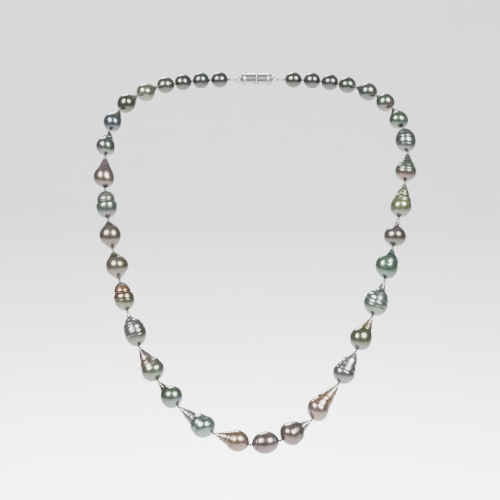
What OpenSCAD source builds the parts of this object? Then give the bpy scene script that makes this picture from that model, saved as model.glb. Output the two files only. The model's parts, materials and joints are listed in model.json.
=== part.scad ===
// Knotted strand of dark baroque and circled pearls with a magnetic barrel clasp.
// It is modelled as worn: clasp at the nape, over both shoulders, down the front.
// Origin: centre of the closed clasp at the nape. -Y is forward and +Z is up.
// Left is -X and right is +X, as seen by someone who faces the wearer.

/* [Pearls] */
// Diameter of the hole drilled through every pearl
drill_d = 0.9; // [0.7:0.1:1.2]
// Depth of the grooves on the circled pearls, as a share of the radius
groove_share = 0.09; // [0:0.01:0.15]
// Points along the blunt end of a pearl's outline
blunt_steps = 7; // [5:1:12]
// Points along the other end, or along each ring of it
tip_steps = 8; // [6:1:12]
// How pointed the nubs are: 1 is a straight cone, and less is blunter
nub_point = 0.55; // [0.3:0.05:1]
// Width of the flat rim left round the hole at each end
rim = 0.3; // [0.2:0.05:0.5]

/* [Silk] */
// Diameter of the silk thread
silk_d = 0.56; // [0.4:0.02:0.7]
// Diameter of the knots between the pearls
knot_d = 1.14; // [0.8:0.02:1.3]

/* [Clasp] */
// Diameter of the clasp's barrel
barrel_d = 5.5; // [5:0.1:7]
// Length of each half of the barrel
barrel_len = 6.2; // [5:0.1:8]
// Width of the rounded edge at each end of the barrel
barrel_edge = 0.45; // [0.2:0.05:0.8]
// Gap between the two halves
clasp_gap = 0.5; // [0.3:0.1:1]
// Diameter of the magnets
magnet_d = 4; // [3:0.1:4.4]
// Length of the magnets
magnet_len = 2.4; // [1.5:0.1:3]
// Distance that the magnets sit back from the clasp's face
magnet_recess = 0.1; // [0:0.05:0.3]
// Radius of the ring of the clasp's eye, to the middle of its wire
eye_r = 1.1; // [1:0.05:1.5]
// Diameter of the eye's wire and of the gimp
wire_d = 0.66; // [0.5:0.02:0.8]
// Distance between the centres of the eye and of the gimp loop that is linked to it
link_pitch = 1.32; // [1.2:0.02:1.6]
// Diameter of the solder collar under the eye
collar_d = 1.3; // [1:0.1:2]
// Height of the solder collar
collar_h = 0.4; // [0.2:0.05:0.5]

/* [Display] */
// Sub-part to show

/* [Hidden] */
$fn = 48;

// Every pearl from the left clasp end to the right: length, width, form, rings and colour, then
// where along it the belly is, how much of the way from the belly to the tip the body would fill,
// and how wide the cone or nub on the tip is, as a share of the width
pearls = [
  [7.2, 7.0, "round", 0, "#4e564b", 0.5, 1, 0],
  [7.2, 7.1, "round", 0, "#575a60", 0.5, 1, 0],
  [7.4, 7.0, "round", 0, "#4a5247", 0.5, 1, 0],
  [7.6, 7.2, "round", 0, "#5b5f52", 0.5, 1, 0],
  [9.5, 7.7, "drop", 0, "#8a9168", 0.38, 0.75, 0.9],
  [10.3, 7.9, "drop", 0, "#4d5238", 0.36, 0.7, 0.85],
  [10.5, 7.8, "drop", 0, "#6b7777", 0.35, 0.7, 0.95],
  [10.5, 8.0, "drop", 0, "#77806f", 0.36, 0.65, 0.95],
  [12.5, 8.5, "drop", 0, "#7d6259", 0.33, 0.68, 0.85],
  [11.5, 8.7, "barrel", 1, "#707a6b", 0.5, 1, 0],
  [11.5, 9.0, "spindle", 0, "#6f6b4c", 0.5, 0.8, 0.95],
  [11.5, 9.3, "spindle", 0, "#7a765c", 0.46, 0.8, 0.95],
  [12.0, 8.6, "circled", 1, "#62623f", 0.45, 1, 0],
  [14.0, 9.3, "circled", 4, "#7c8478", 0.45, 0.8, 0.5],
  [14.5, 9.7, "circled", 3, "#6e7666", 0.33, 0.6, 0.85],
  [12.0, 9.3, "drop", 0, "#6a7264", 0.37, 0.62, 0.6],
  [16.5, 9.9, "circled", 3, "#3f6764", 0.28, 0.52, 0.75],
  [14.0, 8.9, "circled", 4, "#8a5a45", 0.38, 0.56, 0.85],
  [11.0, 9.2, "oval", 0, "#6a4f4c", 0.5, 1, 0],
  [13.5, 10.0, "circled", 3, "#6d5350", 0.33, 0.66, 0.7],
  [17.0, 9.3, "circled", 2, "#86694a", 0.28, 0.5, 0.98],
  [14.0, 9.2, "circled", 3, "#757a69", 0.33, 0.55, 1.05],
  [14.0, 9.3, "drop", 0, "#6a7257", 0.33, 0.55, 0.8],
  [14.5, 10.1, "circled", 4, "#7e8a7e", 0.37, 0.68, 0.55],
  [12.5, 9.3, "drop", 0, "#2f4f42", 0.42, 0.8, 0.85],
  [11.0, 9.3, "drop", 0, "#6a655b", 0.39, 0.64, 0.5],
  [14.0, 8.7, "circled", 3, "#83945a", 0.36, 0.6, 0.95],
  [11.5, 8.9, "circled", 2, "#6c6150", 0.4, 0.66, 0.85],
  [10.5, 8.6, "oval", 0, "#6b6e70", 0.5, 1, 0],
  [10.0, 7.9, "drop", 0, "#4f6a4a", 0.38, 0.7, 0.9],
  [9.0, 7.9, "drop", 0, "#56704f", 0.41, 0.8, 0.75],
  [9.8, 7.8, "drop", 0, "#5a635c", 0.38, 0.75, 0.85],
  [7.6, 7.2, "round", 0, "#505c50", 0.5, 1, 0],
  [7.4, 7.1, "round", 0, "#5a5456", 0.5, 1, 0],
  [7.2, 7.0, "round", 0, "#4c554e", 0.5, 1, 0],
  [7.2, 7.0, "round", 0, "#565c4f", 0.5, 1, 0]
];
pearl_count = len(pearls);
tip_turns = 18; // pearls before this one point their tips back along the strand

// The strand's route, chosen by hand. The first and last points only set its direction.
route = [
  [0, 0, 0], [-11.7, 0, 0], [-27, -6, 0], [-44, -18, -2], [-56.5, -30, -9], [-62, -43, -24],
  [-61, -53, -50], [-55, -63.5, -78], [-45, -73.5, -106], [-25, -82, -129.5], [0.5, -85, -138.5],
  [22, -81.5, -129], [37, -74, -108], [50, -65, -81], [58, -54, -50], [62, -43, -24],
  [56.5, -30, -9], [44, -18, -2], [27, -6, 0], [11.7, 0, 0], [0, 0, 0]
];
route_steps = 12; // straight pieces between two points of the route

silk_colour = "#7f8672";
silver = "#c8c6c0";
magnet_colour = "#5c5f63";
wire_sides = 24; // sides of the eyes' and gimps' round wire

face_x = clasp_gap / 2;
barrel_end = face_x + barrel_len;
eye_x = barrel_end + eye_r + wire_d / 2;
gimp_x = eye_x + link_pitch;
gimp_clearance = 0.04; // between the end of the thread and the gimp
silk_end_x = gimp_x + eye_r + wire_d / 2 + gimp_clearance;
knot_core = 0.2; // the thread's pieces stop this far from the middle of each knot, inside it

function middle(a, b, c, d, t) = (2 * b + (c - a) * t + (2 * a - 5 * b + 4 * c - d) * t * t
  + (3 * b - a - 3 * c + d) * t * t * t) / 2;
function on_route(k, t) = middle(route[k - 1], route[k], route[k + 1], route[k + 2], t);

curve = [
  for (k = [1 : len(route) - 3], j = [0 : route_steps - 1]) on_route(k, j / route_steps),
  route[len(route) - 2]
];
function run(list, so_far = [0]) = len(so_far) > len(list) ? so_far
  : run(list, concat(so_far, [so_far[len(so_far) - 1] + list[len(so_far) - 1]]));
curve_at = run([for (k = [1 : len(curve) - 1]) norm(curve[k] - curve[k - 1])]);
curve_len = curve_at[len(curve) - 1];
function along(s) = [
  for (axis = [0 : 2]) lookup(s, [for (k = [0 : len(curve) - 1]) [curve_at[k], curve[k][axis]]])
];

pearls_len = run([for (p = pearls) p[0]])[pearl_count];
silk_gap = (curve_len - pearls_len) / pearl_count;
knot_at = run([for (p = pearls) p[0] + silk_gap]);
knots = [for (s = knot_at) along(s)];

function two_digits(n) = n < 10 ? str("0", n) : str(n);
function pearl_name(k) = str("pearl_", two_digits(k + 1));
sides = ["left", "right"];
function side_name(part, side) = str(part, "_", sides[side]);

function radius(p) = p[1] / 2;
function belly(p) = p[5];
function body(p) = p[6];
function nub(p) = p[7];
function squareness(form) = form == "barrel" ? 2.5 : 2;
function groove(v, rings) = rings == 0 ? 1 : 1 - groove_share * (1 - cos(360 * rings * v)) / 2;

// Radius at a share u of the way from the belly to an end, as a share of the widest radius.
function plain_r(u, form) = pow(1 - pow(u, squareness(form)), 0.5);
function nub_r(u, p) = max(plain_r(min(u / body(p), 1), p[2]), min(1, nub(p) * pow(1 - u, nub_point)));
function outer_r(share, p) = max(radius(p) * share, drill_d / 2 + rim);

// Outline of one pearl, from its blunt end at 0 to its tip.
// A spindle has a nub at both ends.
function blunt_points(p) =
  let (reach = p[0] * belly(p), nub = p[2] == "spindle")
    [
      for (j = [0 : blunt_steps - 1])
        let (u = cos(90 * j / blunt_steps))
          [outer_r(nub ? nub_r(u, p) : plain_r(u, p[2]), p), reach * (1 - u)]
    ];
function tip_points(p) =
  let (
    reach = p[0] * (1 - belly(p)),
    steps = tip_steps * max(nub(p) > 0 ? 2 : 1, p[3])
  )
    [
      for (j = [0 : steps])
        let (v = nub(p) > 0 ? j / steps : sin(90 * j / steps))
          [outer_r(nub_r(v, p) * groove(v, p[3]), p), p[0] - reach + reach * v]
    ];

// Turns +Z to the direction from a to b, and moves the origin to a.
module from_to(a, b) {
  d = b - a;
  translate(a)
    rotate([0, acos(d[2] / norm(d)), atan2(d[1], d[0])])
      children();
}

module pearl(k) {
  p = pearls[k];
  points_back = k < tip_turns;
  blunt = points_back ? knots[k + 1] : knots[k];
  tip = points_back ? knots[k] : knots[k + 1];
  outline = concat(blunt_points(p), tip_points(p));
  color(p[4])
    from_to(blunt, tip)
      translate([0, 0, (norm(tip - blunt) - p[0]) / 2])
        rotate_extrude()
          polygon(concat(outline, [[drill_d / 2, p[0]], [drill_d / 2, 0]]));
}

module silk_thread() {
  color(silk_colour) {
    for (k = [0 : pearl_count - 1])
      from_to(knots[k], knots[k + 1])
        translate([0, 0, knot_core])
          cylinder(d = silk_d, h = norm(knots[k + 1] - knots[k]) - 2 * knot_core);
    for (k = [0 : pearl_count])
      from_to(knots[k], knots[k] + knots[min(k + 1, pearl_count)] - knots[max(k - 1, 0)])
        sphere(d = knot_d);
    for (end = [0, pearl_count])
      from_to(knots[end], [sign(knots[end][0]) * silk_end_x, 0, 0])
        translate([0, 0, knot_core])
          cylinder(d = silk_d, h = norm(knots[end]) - silk_end_x - knot_core);
  }
}

// One half of the clasp reaches along -X (side 0) or +X (side 1) from the nape.
module on_side(side) {
  mirror([1 - side, 0, 0])
    rotate([0, 90, 0])
      children();
}

module clasp_shell(side) {
  r = barrel_d / 2;
  pocket_r = magnet_d / 2;
  pocket_end = face_x + magnet_recess + magnet_len;
  color(silver)
    on_side(side)
      rotate_extrude()
        polygon([
          [pocket_r, face_x], [r - barrel_edge, face_x], [r, face_x + barrel_edge],
          [r, barrel_end - barrel_edge], [r - barrel_edge, barrel_end], [0, barrel_end],
          [0, pocket_end], [pocket_r, pocket_end]
        ]);
}

module magnet(side) {
  color(magnet_colour)
    on_side(side)
      translate([0, 0, face_x + magnet_recess])
        cylinder(d = magnet_d, h = magnet_len);
}

module wire_ring() {
  rotate_extrude()
    translate([eye_r, 0])
      circle(d = wire_d, $fn = wire_sides);
}

module clasp_eye(side) {
  color(silver)
    on_side(side) {
      translate([0, 0, eye_x])
        rotate([90, 0, 0])
          wire_ring();
      translate([0, 0, barrel_end])
        cylinder(d = collar_d, h = collar_h);
    }
}

module gimp(side) {
  color(silver)
    on_side(side)
      translate([0, 0, gimp_x])
        rotate([0, 90, 0])
          wire_ring();
}

for (k = [0 : pearl_count - 1])
  pearl(k);
silk_thread();
for (side = [0, 1]) {
  clasp_shell(side);
  magnet(side);
  clasp_eye(side);
  gimp(side);
}
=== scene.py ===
"""Looks of a worn strand of dark baroque pearls on knotted silk, with a magnetic barrel clasp."""
import json
import math

import bpy
import numpy as np
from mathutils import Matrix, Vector

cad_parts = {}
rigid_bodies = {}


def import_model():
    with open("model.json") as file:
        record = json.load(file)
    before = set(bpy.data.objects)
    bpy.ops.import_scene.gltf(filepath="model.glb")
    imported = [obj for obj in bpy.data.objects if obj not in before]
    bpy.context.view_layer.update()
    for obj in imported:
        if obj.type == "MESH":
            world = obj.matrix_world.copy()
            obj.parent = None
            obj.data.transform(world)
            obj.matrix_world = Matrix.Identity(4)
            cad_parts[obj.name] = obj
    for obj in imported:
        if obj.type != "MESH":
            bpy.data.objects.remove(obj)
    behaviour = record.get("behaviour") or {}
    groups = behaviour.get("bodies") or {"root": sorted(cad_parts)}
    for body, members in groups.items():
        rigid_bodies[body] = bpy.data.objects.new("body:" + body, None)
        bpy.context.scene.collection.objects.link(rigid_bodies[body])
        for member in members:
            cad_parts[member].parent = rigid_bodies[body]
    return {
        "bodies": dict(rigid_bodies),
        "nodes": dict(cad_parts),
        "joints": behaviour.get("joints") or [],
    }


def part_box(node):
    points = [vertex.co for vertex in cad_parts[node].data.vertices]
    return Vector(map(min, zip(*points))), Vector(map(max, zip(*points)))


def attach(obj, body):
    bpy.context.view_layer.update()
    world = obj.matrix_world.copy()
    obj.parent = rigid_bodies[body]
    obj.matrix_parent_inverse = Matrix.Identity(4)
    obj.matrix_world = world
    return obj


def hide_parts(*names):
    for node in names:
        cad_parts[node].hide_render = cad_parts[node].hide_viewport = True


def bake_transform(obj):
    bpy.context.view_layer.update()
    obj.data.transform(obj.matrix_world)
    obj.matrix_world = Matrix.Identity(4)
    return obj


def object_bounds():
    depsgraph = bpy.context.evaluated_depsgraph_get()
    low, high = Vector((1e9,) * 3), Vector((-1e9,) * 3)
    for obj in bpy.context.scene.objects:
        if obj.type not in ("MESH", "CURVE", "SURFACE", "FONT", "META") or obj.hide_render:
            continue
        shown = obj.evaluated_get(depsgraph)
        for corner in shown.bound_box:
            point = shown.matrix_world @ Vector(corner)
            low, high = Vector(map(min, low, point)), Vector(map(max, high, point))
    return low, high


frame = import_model()
cad_box = [list(corner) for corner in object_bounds()]
low, high = (Vector(corner) for corner in cad_box)
centre = (low + high) / 2
span = (high - low).length

MM = 0.001

# ---------------------------------------------------------------- camera and light

LOOK_DOWN = 10  # degrees below level
CAMERA_AWAY = 0.9
SEEN_WIDTH = 0.2  # what the frame takes in at that distance
SENSOR = 36  # in mm, as for a full-frame camera
LOOK_AT = Vector((-0.0024, -0.0305, 0.0083))  # from the centre of the strand's box


def direction(azimuth, elevation):
    """From the strand towards a place: azimuth 0 is the viewer's side, -Y, and 90 is +X."""
    a, e = math.radians(azimuth), math.radians(elevation)
    return Vector((math.sin(a) * math.cos(e), -math.cos(a) * math.cos(e), math.sin(e)))


def aim(thing, target):
    thing.rotation_euler = (Vector(target) - thing.location).to_track_quat("-Z", "Y").to_euler()


def make_camera():
    data = bpy.data.cameras.new("camera")
    data.sensor_width = SENSOR
    data.lens = data.sensor_width * CAMERA_AWAY / SEEN_WIDTH
    camera = bpy.data.objects.new("camera", data)
    bpy.context.scene.collection.objects.link(camera)
    target = centre + LOOK_AT
    camera.location = target + direction(0, LOOK_DOWN) * CAMERA_AWAY
    aim(camera, target)
    bpy.context.scene.camera = camera


# Each lamp's name, azimuth, elevation, distance, size, watts and spread in degrees.
KEYS_AND_RIM = (
    ("key_left", -44, 35, 0.85, 0.6, 11, 75),
    ("key_right", 42, 35, 0.85, 0.6, 11, 75),
    ("rim", 195, 40, 0.9, 0.5, 5, 75),
)
BACKDROP = ("backdrop", 180, 60, 0.9, 0.8, 22, 180)
BACKDROP_AIM = Vector((0, 1.5, 0.1))  # from the centre: it lights the floor behind the strand
SKY = (0.86, 0.9, 0.95, 1)
SKY_STRENGTH = 0.72


def softbox(name, azimuth, elevation, away, size, watts, spread):
    data = bpy.data.lights.new(name, "AREA")
    data.shape = "DISK"
    data.size = size
    data.energy = watts
    data.spread = math.radians(spread)
    lamp = bpy.data.objects.new(name, data)
    bpy.context.scene.collection.objects.link(lamp)
    lamp.location = centre + direction(azimuth, elevation) * away
    aim(lamp, centre)
    return lamp


def make_light():
    for lamp in KEYS_AND_RIM:
        softbox(*lamp)
    aim(softbox(*BACKDROP), centre + BACKDROP_AIM)
    world = bpy.data.worlds.new("studio")
    world.use_nodes = True
    sky = world.node_tree.nodes["Background"]
    sky.inputs["Color"].default_value = SKY
    sky.inputs["Strength"].default_value = SKY_STRENGTH
    bpy.context.scene.world = world


# ---------------------------------------------------------------- material helpers


def colour(code, share=1.0, dull=0.0):
    """A colour such as 8a9168 in linear light, darkened to a share of it and dulled towards grey."""
    parts = [int(code[k : k + 2], 16) / 255 for k in (0, 2, 4)]
    parts = [share * (p / 12.92 if p <= 0.04045 else ((p + 0.055) / 1.055) ** 2.4) for p in parts]
    grey = sum(parts) / 3
    return [p + (grey - p) * dull for p in parts] + [1]


LINE_QUICK, LINE_SLOW = 26.0, 1.4  # how fast growth lines change along a pearl and round it
PLY_SWELL = 0.14  # how far each ply of a yarn stands out, as a share of its radius


class Nodes:
    """Short calls to build one node material. A noise of scale 200 has patches of about 5 mm."""

    def __init__(self, name):
        self.material = bpy.data.materials.new(name)
        self.material.use_nodes = True
        self.tree = self.material.node_tree
        self.shader = self.tree.nodes["Principled BSDF"]
        self.where = self.add("ShaderNodeTexCoord").outputs["Object"]

    def add(self, kind, **values):
        node = self.tree.nodes.new(kind)
        for key, value in values.items():
            setattr(node, key, value)
        return node

    def plug(self, value, socket):
        if isinstance(value, bpy.types.NodeSocket):
            self.tree.links.new(value, socket)
        else:
            socket.default_value = value

    def fix(self, **values):
        for key, value in values.items():
            self.shader.inputs[key.replace("_", " ")].default_value = value

    def attribute(self, name):
        return self.add("ShaderNodeAttribute", attribute_name=name).outputs["Fac"]

    def noise(self, scale, detail=3.0, rough=0.5, where=None):
        node = self.add("ShaderNodeTexNoise")
        self.plug(where or self.where, node.inputs["Vector"])
        self.plug(scale, node.inputs["Scale"])
        self.plug(detail, node.inputs["Detail"])
        self.plug(rough, node.inputs["Roughness"])
        return node.outputs["Fac"]

    def math(self, operation, a, b):
        node = self.add("ShaderNodeMath", operation=operation)
        for value, socket in zip((a, b), node.inputs):
            self.plug(value, socket)
        return node.outputs[0]

    def span(self, value, low, high, to_low=0.0, to_high=1.0):
        node = self.add("ShaderNodeMapRange")
        for given, socket in zip((value, low, high, to_low, to_high), node.inputs):
            self.plug(given, socket)
        return node.outputs[0]

    def ramp(self, value, stops):
        node = self.add("ShaderNodeValToRGB")
        node.color_ramp.interpolation = "EASE"
        while len(node.color_ramp.elements) < len(stops):
            node.color_ramp.elements.new(0.5)
        for element, (place, tint) in zip(node.color_ramp.elements, stops):
            element.position = place
            element.color = tint
        self.plug(value, node.inputs[0])
        return node.outputs["Color"]

    def mix(self, amount, a, b, blend="MIX"):
        node = self.add("ShaderNodeMix", data_type="RGBA", blend_type=blend)
        self.plug(amount, node.inputs["Factor"])
        self.plug(a, node.inputs["A"])
        self.plug(b, node.inputs["B"])
        return node.outputs["Result"]

    def bump(self, height, strength, distance, under=None):
        node = self.add("ShaderNodeBump")
        self.plug(height, node.inputs["Height"])
        self.plug(strength, node.inputs["Strength"])
        self.plug(distance, node.inputs["Distance"])
        if under is not None:
            self.plug(under, node.inputs["Normal"])
        return node.outputs["Normal"]

    def stretched_lines(self):
        """Coordinates for fine lines that ring a pearl: quick along it and slow round it."""
        node = self.add("ShaderNodeCombineXYZ")
        self.plug(self.math("MULTIPLY", self.attribute("line"), LINE_QUICK), node.inputs[0])
        self.plug(self.math("MULTIPLY", self.attribute("turn_x"), LINE_SLOW), node.inputs[1])
        self.plug(self.math("MULTIPLY", self.attribute("turn_y"), LINE_SLOW), node.inputs[2])
        return node.outputs[0]

    def surface(self, base, rough, normal=None):
        self.plug(base, self.shader.inputs["Base Color"])
        self.plug(rough, self.shader.inputs["Roughness"])
        if normal is not None:
            self.plug(normal, self.shader.inputs["Normal"])
        return self.material


# ---------------------------------------------------------------- mesh helpers


def piece(name, points, faces, material, body=None, values=None):
    """A smooth mesh with one material, that rides on a body if one is given. Values are numbers for
    each point that the material reads."""
    mesh = bpy.data.meshes.new(name)
    mesh.from_pydata([tuple(p) for p in points], [], faces)
    mesh.polygons.foreach_set("use_smooth", [True] * len(mesh.polygons))
    for key, numbers in (values or {}).items():
        attribute = mesh.attributes.new(key, "FLOAT", "POINT")
        attribute.data.foreach_set("value", np.asarray(numbers, np.float32).ravel())
    mesh.materials.append(material)
    mesh.update()
    made = bpy.data.objects.new(name, mesh)
    bpy.context.scene.collection.objects.link(made)
    if body:
        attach(made, body)
    return made


def grid_faces(rows, columns, closed=False):
    """Quads between rows of points that each go once round; closed joins the last row to the first."""
    faces = []
    for i in range(rows if closed else rows - 1):
        a, b = i * columns, (i + 1) % rows * columns
        for j in range(columns):
            k = (j + 1) % columns
            faces.append((a + j, a + k, b + k, b + j))
    return faces


def unit(v):
    return v / np.linalg.norm(v)


TO_VIEWER = np.array((0, -1.0, 0))
UP = np.array((0, 0, 1.0))


def across(axis):
    """Two directions square to an axis. The first points as nearly at the viewer as it can, or up
    where the axis itself points at the viewer."""
    u = TO_VIEWER - np.dot(TO_VIEWER, axis) * axis
    nearly_parallel = np.linalg.norm(u) < 0.2
    if nearly_parallel:
        u = UP - np.dot(UP, axis) * axis
    u = unit(u)
    return u, np.cross(axis, u)


def tube(path, radius, sides, closed=False, plies=0, twist=0.0):
    """Points and faces of a tube along a path; plies and twist give it the look of twisted yarn."""
    path = np.asarray(path, float)
    if closed:
        ahead = np.roll(path, -1, 0) - np.roll(path, 1, 0)
    else:
        ahead = np.gradient(path, axis=0)
    ahead /= np.linalg.norm(ahead, axis=1)[:, None]
    u = across(ahead[0])[0]
    walked = 0.0
    turns = np.linspace(0, 2 * math.pi, sides, endpoint=False)
    points, ply = [], []
    for k, t in enumerate(ahead):
        u = unit(u - np.dot(u, t) * t)
        v = np.cross(t, u)
        walked += np.linalg.norm(path[k] - path[k - 1]) if k else 0.0
        wave = np.cos(plies * (turns - twist * walked)) if plies else np.zeros(sides)
        r = radius * (1 + PLY_SWELL * wave)
        points.append(path[k] + r[:, None] * (np.cos(turns)[:, None] * u + np.sin(turns)[:, None] * v))
        ply.append(wave)
    return np.concatenate(points), grid_faces(len(path), sides, closed=closed), np.concatenate(ply)


# ---------------------------------------------------------------- pearls

HOLE_R = 0.45 * MM
LEAST_WALL = 0.2 * MM  # between the hole and the skin
RING_DEPTH = 0.17 * MM
AROUND = 72  # points in a row round a pearl
ROW_STEP = 0.13 * MM  # between rows
FINE_STEP = 0.02 * MM  # between an outline's points while it is smoothed
CORNER_BLUR, RIDGE_BLUR = 16, 40  # in fine steps
FIRST_SEED = 100
ANY_TURN = 6.3  # about a full turn, in radians
TURNS = np.linspace(0, 2 * math.pi, AROUND, endpoint=False)
NACRE_DEPTH = 0.215  # how dark the nacre is under its shine
NACRE_DULL = 0.2  # how grey it is
RIM_TINT = (0.25, 0.25, 0.27, 1)  # darkens the nacre where it is seen edge on
RING_EASE = 0.65  # how far the CAD outline's ridges are smoothed down


class Look:
    """How one pearl looks. Places along it are percentages from the tip, and turns are in degrees:
    0 faces the viewer, 90 is right of that with the tip up."""

    def __init__(
        self, tints, glint, rings=(), slant=(0, 0), shift=(0, 0), lumpy=0.03, dents=(3, 50, 30),
        waists=(),
    ):
        # Tints run from tip to base; the lighter base tints are partly a painted reflection of the pale floor
        # below.
        self.tints = tints.split()  # from tip to base
        self.glint = glint  # the overtone that drifts over them
        self.rings = rings  # the place of each
        self.slant = slant  # how much the rings lean, in mm, and towards which turn
        self.shift = shift  # how far the body sits off the hole's line, in mm, and to which side
        self.lumpy = lumpy  # how uneven the body is, as a share of its radius
        self.dents = dents  # how many, round which place, and how widely spread
        self.waists = waists  # soft necks: where, how deep and how far to each side, in mm


# From the left end of the clasp to the right.
LOOKS = [
    Look("6f7a6c 5d6a5c 66705f", "7b6a78", lumpy=0.015),
    Look("75757a 62676d 6a6f70", "6d7f6f", lumpy=0.02),
    Look("6f776a 586450 68705c", "7d6c74", lumpy=0.02),
    Look("7d8173 6a705e 757b66", "86747c", lumpy=0.02),
    Look("c3c9ae 99a887 8f9d78 98a587", "b0b59a", shift=(0.3, 90)),
    Look("e0d2cc b9aca8 6a7258 5c6547 6c745a", "7e8a66", (22,), shift=(0.3, 270)),
    Look("bfae9e a39a92 6f7b80 66757a 76868a", "8f8aa0", (24, 30), (0.3, 60), (0.5, 270)),
    Look("a399a6 958f9c 78807a 6c7868 959c92", "a39aa8", (20, 30), (0.4, 150), (0.5, 270),
         waists=((34, 0.2, 0.6),)),
    Look("a8909a a38a8c 9c8078 a3907a 9c8688", "b39a9c", (26,), (0.4, 30), (0.7, 270),
         waists=((36, 0.15, 0.7),)),
    Look("b4aaa8 a9afa4 8f9f8c 86968a a39a98", "b3aaa6", (36, 40), (0.3, 300), dents=(5, 38, 8),
         waists=((38, 0.4, 0.8),)),
    Look("ab9a90 968e78 86805a 8c8262 9c8c7c", "9c8a80", shift=(0.2, 270)),
    Look("b0a096 9c947c 948c66 8c8668 ac9c90", "a39088", (20,), shift=(0.3, 90)),
    Look("d9d0ca c28a5c ab6f4c 8a7a54 8c946a 98a078 a3ac8e", "94a46c", (36, 62), (0.3, 60),
         waists=((37, 0.35, 0.6),)),
    Look("c6bccf aca8b4 8f968c 808a6c 8a9072 a0a89c", "a8a2b4", (27, 40, 53, 67), (0.9, 300),
         (0.3, 90), dents=(5, 50, 15), waists=((20, 0.45, 0.6),)),
    Look("988682 b49c94 a8947f 8a9674 8f9c78 9fae98", "9aa894", (14, 22, 31, 40), (0.6, 270), (0.4, 90),
         waists=((45, 0.25, 0.5),)),
    Look("7a7472 76766e 7a8a74 84947c 93a5b0 a3b2aa", "9aaa9c", (10, 16, 32), (0.8, 50), (0.3, 90)),
    Look("e6e2de c4bdb8 aaa39e 84a092 7f9f92 96b6aa a6bec4", "a8c2ba", (9, 16, 23, 31, 40), (0.6, 300),
         (0.5, 270), 0.05, (18, 68, 16), waists=((43, 0.35, 0.8),)),
    Look("e6dfd8 aba299 9c8a74 a88a5c b08a72 b8908a bf9c98", "c8a878", (10, 19, 29, 39, 47), (0.5, 30),
         lumpy=0.05, dents=(10, 30, 16), waists=((42, 0.2, 0.6),)),
    Look("a89ca6 96807c 8c746a 94786e a898a6", "a8929c", (16, 78, 86), (0.4, 0), dents=(5, 70, 20)),
    Look("b0bcaa a39e90 86766a 8c7268 947a6e a39090", "a89a98", (30, 38, 47), (0.6, 40), (0.4, 90), 0.04,
         waists=((27, 0.3, 0.6),)),
    Look("dcd8d6 ccbcaa b89664 b08a66 b8948a c49c9c cca8a8", "d0b08c", (18, 60), (0.6, 320), (0.9, 270), 0.05,
         (48, 42, 13), waists=((30, 0.25, 0.9),)),
    Look("cfcdc4 bdbbb2 94928c 8a888a 9a979a b0aab0", "a8a0b0", (37, 45, 54), (0.9, 330), (0.3, 270), 0.04,
         waists=((40, 0.2, 0.5),)),
    Look("dec49a b4a06c 7a7a54 7a805f 848e6c 94a4b0", "8c9c78", (21, 27, 33), (0.2, 60), (0.4, 270), 0.04,
         (5, 40, 20), waists=((14, 0.2, 0.6),)),
    Look("d4b4c8 b0a6b0 98a89e 90aa96 98b0a0 a4bcb4", "a8bcac", (26, 41, 55, 69), (0.8, 20),
         (0.3, 270), 0.04, waists=((25, 0.25, 0.5),)),
    Look("8aa394 7d9c88 6c9078 76967f 8aa89a", "7ca68c", (18, 40), (1.2, 60), (0.4, 270), 0.05, (16, 60, 25)),
    Look("d89ca8 c094a0 7c7678 7e7864 847a68 9a9090", "9a8c92", (9, 17), waists=((19, 0.35, 0.4),)),
    Look("9ea496 9fae88 a0b478 98ac70 98a87c a498ac", "b4c488", (20, 30, 41), (0.6, 30), (0.3, 90), 0.04,
         waists=((46, 0.2, 0.6),)),
    Look("948074 908a78 8aa68c 929686 9c8072 a38f8a", "92ac94", (28, 44, 57), (0.3, 340), lumpy=0.04,
         waists=((36, 0.15, 0.6),)),
    Look("949a9a 8a9192 838b88 8a9290 97969c", "98959f", (20, 44, 70), (0.5, 30), dents=(6, 50, 25)),
    Look("aeb4b2 90a08e 6c906c 76967a 86968c", "78a478", (28,), (0.3, 60), (0.3, 270)),
    Look("d4c4c6 868b7e 6c866c 738a72 968686", "ac8c94", (12,), (0.3, 200)),
    Look("d4c4c8 828280 6a786c 727f74 84867f", "998492", (16,), (0.3, 40)),
    Look("77806f 5d6f5a 6a7765", "80707c", lumpy=0.02),
    Look("74706f 66626a 6f7068", "6f8070", lumpy=0.02),
    Look("6a7568 566656 647060", "776a74", lumpy=0.02),
    Look("707863 5f6a55 6c745f", "7d707a", lumpy=0.015),
]


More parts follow.
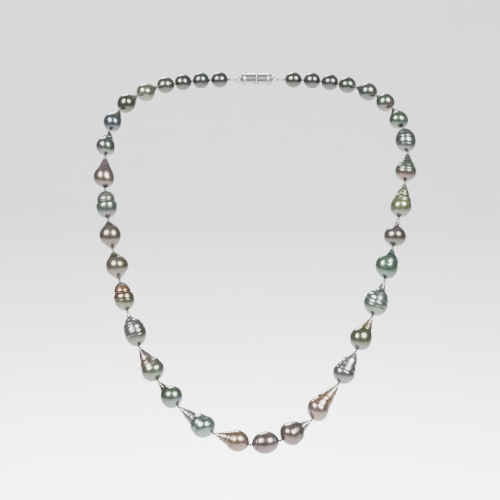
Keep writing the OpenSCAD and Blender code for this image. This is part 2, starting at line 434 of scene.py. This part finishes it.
def nacre(name, look):
    """Dark nacre: soft zones of colour from tip to base, the lighter base zones partly the pearl's own colour
    and partly a painted reflection of the pale floor below, an overtone in drifts, fine growth lines, and
    painted shade in the ring grooves and the hole.
    """
    n = Nodes(name)
    drift = n.noise(190.0, 2.0)
    along = n.math("ADD", n.attribute("along"), n.span(drift, 0.3, 0.7, -0.06, 0.06))
    last = len(look.tints) - 1
    # Colour from tip to base: the lighter base stops are partly the pearl's own colour and partly a painted
    # reflection of the pale floor below, as the base is each pearl's lower end.
    base = n.ramp(along, [(k / last, colour(t, NACRE_DEPTH, NACRE_DULL)) for k, t in enumerate(look.tints)])
    clouds = n.span(n.noise(120.0, 3.0, 0.55), 0.46, 0.68, 0.0, 0.6)
    base = n.mix(clouds, base, colour(look.glint, NACRE_DEPTH, NACRE_DULL))
    lines = n.noise(1.0, 4.0, 0.6, n.stretched_lines())
    base = n.mix(n.span(lines, 0.35, 0.7, 0.0, 0.35), base, colour("6a6c66"), "MULTIPLY")
    # Painted shade: the ring grooves, and the hole's lining in full, are darkened with 45433e; the grooves
    # also get rougher.
    groove = n.attribute("groove")
    base = n.mix(n.math("MULTIPLY", groove, 0.95), base, colour("45433e"), "MULTIPLY")
    rough = n.span(n.noise(900.0, 3.0), 0.3, 0.7, 0.23, 0.31)
    rough = n.math("ADD", rough, n.math("MULTIPLY", groove, 0.25))
    skin = n.bump(n.noise(1500.0, 3.0), 0.07, 0.05 * MM)
    skin = n.bump(lines, 0.16, 0.05 * MM, skin)
    n.fix(Metallic=0.85, IOR=1.53, Specular_Tint=RIM_TINT)
    n.fix(Coat_Weight=0.6, Coat_Roughness=0.09, Coat_IOR=1.5)
    return n.surface(base, rough, skin)


def outline_of(node, start, axis):
    """A pearl's outline from its base, as height and radius, measured on the CAD solid."""
    mesh = frame["nodes"][node].data
    points = np.array([v.co for v in mesh.vertices]) - start
    height = points @ axis
    radius = np.linalg.norm(points - np.outer(height, axis), axis=1)
    outer = radius > HOLE_R + LEAST_WALL / 2
    found = {}
    for z, r in zip(np.round(height[outer], 5), radius[outer]):
        found[z] = max(r, found.get(z, 0))
    return np.array(sorted(found.items()))


def blurred(line, sigma):
    """A line of points smoothed along its length, with its ends kept in place."""
    reach = 3 * sigma
    window = np.exp(-0.5 * (np.arange(-reach, reach + 1) / sigma) ** 2)
    window /= window.sum()
    head, tail = 2 * line[0] - line[reach:0:-1], 2 * line[-1] - line[-2 : -reach - 2 : -1]
    padded = np.concatenate([head, line, tail])
    return np.stack([np.convolve(padded[:, k], window, "valid") for k in range(line.shape[1])], 1)


def smooth_outline(outline):
    """The outline in fine even steps, with its corners and ridges eased."""
    z = np.arange(outline[0, 0], outline[-1, 0], 2 * FINE_STEP)
    r = np.interp(z, outline[:, 0], outline[:, 1])
    line = np.stack([z, r], 1)
    walked = np.concatenate([[0], np.cumsum(np.linalg.norm(np.diff(line, axis=0), axis=1))])
    steps = np.arange(0, walked[-1], FINE_STEP)
    line = np.stack([np.interp(steps, walked, line[:, k]) for k in (0, 1)], 1)
    line = blurred(line, CORNER_BLUR)
    middle = np.sin(math.pi * np.linspace(0, 1, len(line)))[:, None] ** 0.5
    line += RING_EASE * middle * (blurred(line, RIDGE_BLUR) - line)
    rows = int(walked[-1] / ROW_STEP)
    return line[np.linspace(0, len(line) - 1, rows).astype(int)]


def turned_to(degrees):
    """1 on the side of a pearl that faces this turn, and -1 on the far side."""
    return np.cos(TURNS - math.radians(degrees))


def ring_cuts(look, rng, leaning, z0, z1):
    """How deep in a ring each point is, from 0 to 1. A ring is a fine groove that wanders and fades."""
    cut = np.zeros(leaning.shape)
    for place in look.rings:
        at = z1 - place / 100 * (z1 - z0) + rng.uniform(-0.15, 0.15) * MM
        wander = 0.12 * MM * np.cos(2 * TURNS + rng.uniform(0, ANY_TURN))
        fade = 0.72 + 0.28 * np.cos(TURNS * rng.integers(1, 3) + rng.uniform(0, ANY_TURN))
        wide = rng.uniform(0.22, 0.34) * MM
        cut = np.maximum(cut, fade * np.exp(-np.abs((leaning + wander - at) / wide) ** 1.4))
    return cut


def slow_waves(rng, share):
    """An uneven roundness that changes a little along the pearl."""
    return sum(
        rng.uniform(0.4, 1) * np.cos(m * TURNS + rng.uniform(0, ANY_TURN) + rng.uniform(-2, 2) * share) / m
        for m in (1, 2, 3, 4)
    )


def narrowed(radius, look, leaning, z0, z1):
    """The radius with the pearl's waists taken off."""
    for place, deep, wide in look.waists:
        at = z1 - place / 100 * (z1 - z0)
        radius = radius - deep * MM * np.exp(-(((leaning - at) / (wide * MM)) ** 2))
    return np.maximum(radius, HOLE_R + LEAST_WALL)


def dented(points, look, rng, outward):
    count, place, spread = look.dents
    for _ in range(count):
        at = np.clip(1 - rng.normal(place, spread) / 100, 0.12, 0.9)
        i, j = int(at * len(points)), rng.integers(AROUND)
        wide = rng.uniform(0.3, 0.8) * MM
        far = np.linalg.norm(points - points[i, j], axis=2)
        deep = rng.uniform(0.04, 0.14) * MM * np.exp(-((far / wide) ** 2))
        points = points - deep[..., None] * outward
    return points


def pearl_skin(curve, base, axis, look, rng):
    """A pearl's points in rows from base to tip, the way out from the hole's line at each place in a
    row, and each point's height along the leaning rings and depth in them."""
    z, r = curve[:, :1], curve[:, 1:]
    z0, z1 = curve[0, 0], curve[-1, 0]
    share = (z - z0) / (z1 - z0)
    fullness = r / r.max()
    leaning = z + look.slant[0] * MM * turned_to(look.slant[1]) * fullness
    cut = ring_cuts(look, rng, leaning, z0, z1)
    middle = np.sin(math.pi * np.clip(share, 0, 1)) ** 0.7
    radius = r * (1 + look.lumpy * middle * slow_waves(rng, share)) - RING_DEPTH * cut * fullness**0.5
    radius = narrowed(radius, look, leaning, z0, z1)
    u, v = across(axis)
    outward = np.cos(TURNS)[:, None] * u + np.sin(TURNS)[:, None] * v
    side = math.cos(math.radians(look.shift[1])) * u + math.sin(math.radians(look.shift[1])) * v
    aside = look.shift[0] * MM * np.sin(math.pi * share) ** 1.5 * fullness
    core = base + z[..., None] * axis + aside[..., None] * side
    points = dented(core + radius[..., None] * outward, look, rng, outward)
    return points, outward, leaning, cut


def hole_rows(z0, z1):
    """Height and radius of the rows that turn the skin in at both ends and line the hole."""
    lip, lip_r, depth = 0.02 * MM, HOLE_R + 0.08 * MM, 0.15 * MM
    return (z1 - lip, lip_r), (z1 - depth, HOLE_R), (z0 + depth, HOLE_R), (z0 + lip, lip_r)


def make_pearl(k, knot_before, knot_after, points_back):
    """Pearl k + 1 in place of its CAD solid. Returns the middle of its hole."""
    name = f"pearl_{k + 1:02d}"
    look = LOOKS[k]
    base, tip = (knot_after, knot_before) if points_back else (knot_before, knot_after)
    axis = unit(tip - base)
    curve = smooth_outline(outline_of(name, base, axis))
    z0, z1 = curve[0, 0], curve[-1, 0]
    rng = np.random.default_rng(FIRST_SEED + k)
    skin, outward, leaning, cut = pearl_skin(curve, base, axis, look, rng)
    hole = [base + h * axis + q * outward for h, q in hole_rows(z0, z1)]
    spare = np.zeros((len(hole), AROUND))
    flat = np.zeros((len(curve), 1))
    values = {
        "along": np.vstack([1 - np.clip((leaning - z0) / (z1 - z0), 0, 1), spare]),
        # The groove mask is also painted shade: 1 over the whole lining of the hole.
        "groove": np.vstack([cut, spare + 1]),
        "line": np.vstack([leaning / MM, spare]),
        "turn_x": np.vstack([np.cos(TURNS) + flat, spare]),
        "turn_y": np.vstack([np.sin(TURNS) + flat, spare]),
    }
    points = np.concatenate([skin.reshape(-1, 3)] + hole)
    faces = grid_faces(len(curve) + len(hole), AROUND, closed=True)
    made = piece(f"nacre_{name}", points, faces, nacre(f"nacre_{name}", look), name, values)
    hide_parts(name)
    return base + (z0 + z1) / 2 * axis


# ---------------------------------------------------------------- silk


def silk_material():
    """Dark twisted yarn: two tones, painted shade in the creases between its plies, and a little fuzz."""
    n = Nodes("silk")
    tone = n.mix(n.span(n.noise(1600.0), 0.35, 0.65), colour("24271b"), colour("474b3d"))
    # Painted shade: the yarn is darkened with 6a6d62 in the creases between its plies.
    ply_crease_shade = n.attribute("ply")
    tone = n.mix(n.span(ply_crease_shade, -1.0, 0.2, 0.6, 0.0), tone, colour("6a6d62"), "MULTIPLY")
    fuzz = n.bump(n.noise(9000.0, 4.0, 0.7), 0.5, 0.03 * MM)
    n.fix(Sheen_Weight=0.06, Sheen_Roughness=0.4)
    return n.surface(tone, n.span(n.noise(3000.0), 0.3, 0.7, 0.42, 0.6), fuzz)


SILK_R = 0.26 * MM
KNOT_R = 0.38 * MM  # from the knot's middle to the middle of its outer yarn
KNOT_YARN_R = 0.2 * MM
KNOT_LONG = 0.28 * MM  # how far the knot's yarn swings along the thread
CORE_R = 0.2 * MM  # of the loop inside the gimp
TWIST = 2.2 / MM  # how fast the yarn's plies turn, in radians a metre
KNOT_TURN = 1.9  # from each knot to the next, in radians
END_KNOT_SEED = 3
SOFT_CORNER = 0.5 * MM
TURN_POINTS, RUN_POINTS, KNOT_POINTS = 9, 16, 48
SILK_SIDES, YARN_SIDES, WIRE_SIDES = 12, 8, 5


def bent_path(a, corner, b):
    """From a to b past a corner that is rounded off."""
    p = corner + unit(a - corner) * SOFT_CORNER
    q = corner + unit(b - corner) * SOFT_CORNER
    t = np.linspace(0, 1, TURN_POINTS)[:, None]
    turn = (1 - t) ** 2 * p + 2 * t * (1 - t) * corner + t**2 * q
    run = np.linspace(0, 1, RUN_POINTS)[:, None]
    run_in = a + (p - a) * run[:-1]
    run_out = q + (b - q) * run[1:]
    return np.concatenate([run_in, turn, run_out])


def overhand(at, axis, turn):
    """A pulled-tight overhand knot: a trefoil round the thread."""
    u, v = across(axis)
    t = np.linspace(0, 2 * math.pi, KNOT_POINTS, endpoint=False)
    x, y, z = np.sin(t) + 2 * np.sin(2 * t), np.cos(t) - 2 * np.cos(2 * t), -np.sin(3 * t)
    c, s = math.cos(turn), math.sin(turn)
    local = np.stack([(c * x - s * y) * KNOT_R / 3, (s * x + c * y) * KNOT_R / 3, z * KNOT_LONG], 1)
    return at + local[:, :1] * u + local[:, 1:2] * v + local[:, 2:] * axis


def silk_piece(name, a, knot, b, material, seed):
    """The thread from the middle of one pearl to the middle of the next, with its knot. The seed
    turns the knot."""
    thread = tube(bent_path(a, knot, b), SILK_R, SILK_SIDES, plies=3, twist=TWIST)
    loops = overhand(knot, unit(b - a), seed * KNOT_TURN)
    bow = tube(loops, KNOT_YARN_R, YARN_SIDES, closed=True, plies=2, twist=TWIST)
    shift = len(thread[0])
    faces = thread[1] + [tuple(i + shift for i in face) for face in bow[1]]
    points = np.concatenate([thread[0], bow[0]])
    made = piece(name, points, faces, material, values={"ply": np.concatenate([thread[2], bow[2]])})
    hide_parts("silk_thread")
    return made


# ---------------------------------------------------------------- clasp and gimp


def polished_metal(name, tint, rough):
    """Metal with faint wear: duller and darker in patches, with hair scratches."""
    n = Nodes(name)
    wear = n.noise(500.0, 5.0, 0.65)
    base = n.mix(n.span(wear, 0.35, 0.7), colour(tint), colour(tint, 0.82))
    hair = n.bump(n.noise(6000.0, 2.0), 0.08, 0.02 * MM)
    n.fix(Metallic=1.0)
    return n.surface(base, n.span(wear, 0.3, 0.7, rough, rough + 0.12), hair)


COILS, COIL_POINTS, GIMP_WIRE_R = 46, 10, 0.055 * MM
CORE_EVERY = 8  # the silk loop keeps one point in so many
GRIP_TEETH, GRIP_POINTS = 36, 144
# The grip band's rows: how far in from the clasp's end, and how far out from its side, in mm.
GRIP_ROWS = ((0.9, -0.15), (0.9, 0.04), (1.05, 0.16), (1.75, 0.16), (1.9, 0.04), (1.9, -0.15))
GRIP_TOP = 0.16


def make_gimp(side, body, material):
    """Fine wire coiled round the silk loop that is linked to the clasp's eye. Returns the loop."""
    node = f"gimp_{side}"
    a, b = (np.array(corner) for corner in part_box(node))
    middle, thick = (a + b) / 2, (b - a)[2] / 2
    ring = (b - a)[0] / 2 - thick
    s = np.linspace(0, 2 * math.pi, COILS * COIL_POINTS, endpoint=False)
    spin = s * COILS
    swing = thick - GIMP_WIRE_R
    out = ring + swing * np.cos(spin)
    path = middle + np.stack([out * np.cos(s), out * np.sin(s), swing * np.sin(spin)], 1)
    points, faces, _ = tube(path, GIMP_WIRE_R, WIRE_SIDES, closed=True)
    coil = piece(f"gimp_coil_{side}", points, faces, material, body)
    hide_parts(node)
    s = s[::CORE_EVERY]
    return middle + np.stack([ring * np.cos(s), ring * np.sin(s), 0 * s], 1)


def make_grip(side, material):
    """A milled band round the outer end of each half of the clasp."""
    a, b = (np.array(corner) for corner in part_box(f"clasp_shell_{side}"))
    r = (b - a)[2] / 2
    sign = -1 if side == "left" else 1
    outer = a[0] if side == "left" else b[0]
    turns = np.linspace(0, 2 * math.pi, GRIP_POINTS, endpoint=False)
    teeth = 0.5 + 0.5 * np.cos(GRIP_TEETH * turns)
    rows = []
    for back, lift in GRIP_ROWS:
        milled = 0.55 + 0.45 * teeth if lift == GRIP_TOP else 1 + 0 * teeth
        rise = r + lift * milled * MM
        x = np.full_like(turns, outer - sign * back * MM)
        rows.append(np.stack([x, rise * np.cos(turns), rise * np.sin(turns)], 1))
    band = piece(
        f"clasp_grip_{side}", np.concatenate(rows), grid_faces(len(rows), len(turns), closed=True),
        material, f"clasp_{side}",
    )


def dress(node, material):
    """Gives a CAD node that stays a better material."""
    data = frame["nodes"][node].data
    data.materials.clear()
    data.materials.append(material)


# ---------------------------------------------------------------- floor

FLOOR_DROP = 0.45  # how far the floor is below the strand, as a share of its box's diagonal
FLOOR_FRONT, FLOOR_SIDE = -6, 6
BEND_FROM, BEND_R, BEND_STEPS = 1.1, 0.6, 16  # where the floor starts to curve up, and how
WALL_TOP = 3


def make_stage():
    """A pale floor that curves up into a wall well behind the strand."""
    n = Nodes("pale_paper")
    tone = n.mix(n.noise(30.0, 4.0), colour("e8e6e6"), colour("efeeed"))
    material = n.surface(tone, 0.85, n.bump(n.noise(900.0), 0.05, 0.2 * MM))
    floor = low.z - FLOOR_DROP * span
    outline = [(FLOOR_FRONT, floor)]
    for k in range(BEND_STEPS + 1):
        a = math.pi / 2 * k / BEND_STEPS
        outline.append((BEND_FROM + BEND_R * math.sin(a), floor + BEND_R * (1 - math.cos(a))))
    outline.append((BEND_FROM + BEND_R, WALL_TOP))
    points = [(x, y, z) for y, z in outline for x in (-FLOOR_SIDE, FLOOR_SIDE)]
    faces = [(2 * k, 2 * k + 1, 2 * k + 3, 2 * k + 2) for k in range(len(outline) - 1)]
    piece("floor", points, faces, material)


# ---------------------------------------------------------------- the strand

make_camera()
make_light()
make_stage()

knots = {
    int(j["name"].split("_")[1]): np.array(j["pos_m"])
    for j in frame["joints"] if j["name"].startswith("knot")
}
count = len(knots) + 1
children = {j["child"] for j in frame["joints"]}
root = next(body for body in frame["bodies"] if body not in children)
root_number = int(root.split("_")[1])


def end_knot(node, near):
    """Where the strand's last knot sits: as far past the last pearl's middle as its other knot is."""
    a, b = (np.array(corner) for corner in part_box(node))
    return 2 * (a + b) / 2 - near


knots[0] = end_knot("pearl_01", knots[1])
knots[count] = end_knot(f"pearl_{count:02d}", knots[count - 1])

# The pearls before the root, the lowest of the strand, point their tips back along it.
middles = [make_pearl(k, knots[k], knots[k + 1], k + 1 < root_number) for k in range(count)]

silk = silk_material()
for k in range(1, count):
    made = silk_piece(f"silk_{k:02d}_{k + 1:02d}", middles[k - 1], knots[k], middles[k], silk, k)
    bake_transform(made)

rhodium = polished_metal("clasp_silver", "85837e", 0.2)
gimp_wire = polished_metal("gimp_silver", "8a877f", 0.28)
nickel = polished_metal("magnet_nickel", "75787c", 0.3)
for side, last, knot, middle in (
    ("left", "pearl_01", knots[0], middles[0]),
    ("right", f"pearl_{count:02d}", knots[count], middles[-1]),
):
    core = make_gimp(side, last, gimp_wire)
    near = core[np.argmin(np.linalg.norm(core - knot, axis=1))]
    made = silk_piece(f"silk_end_{side}", middle, knot, near, silk, END_KNOT_SEED)
    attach(made, last)
    loop = tube(core, CORE_R, YARN_SIDES, closed=True, plies=2, twist=TWIST)
    inside = piece(f"silk_loop_{side}", loop[0], loop[1], silk, last, {"ply": loop[2]})
    make_grip(side, rhodium)
    dress(f"clasp_shell_{side}", rhodium)
    dress(f"clasp_eye_{side}", rhodium)
    dress(f"magnet_{side}", nickel)
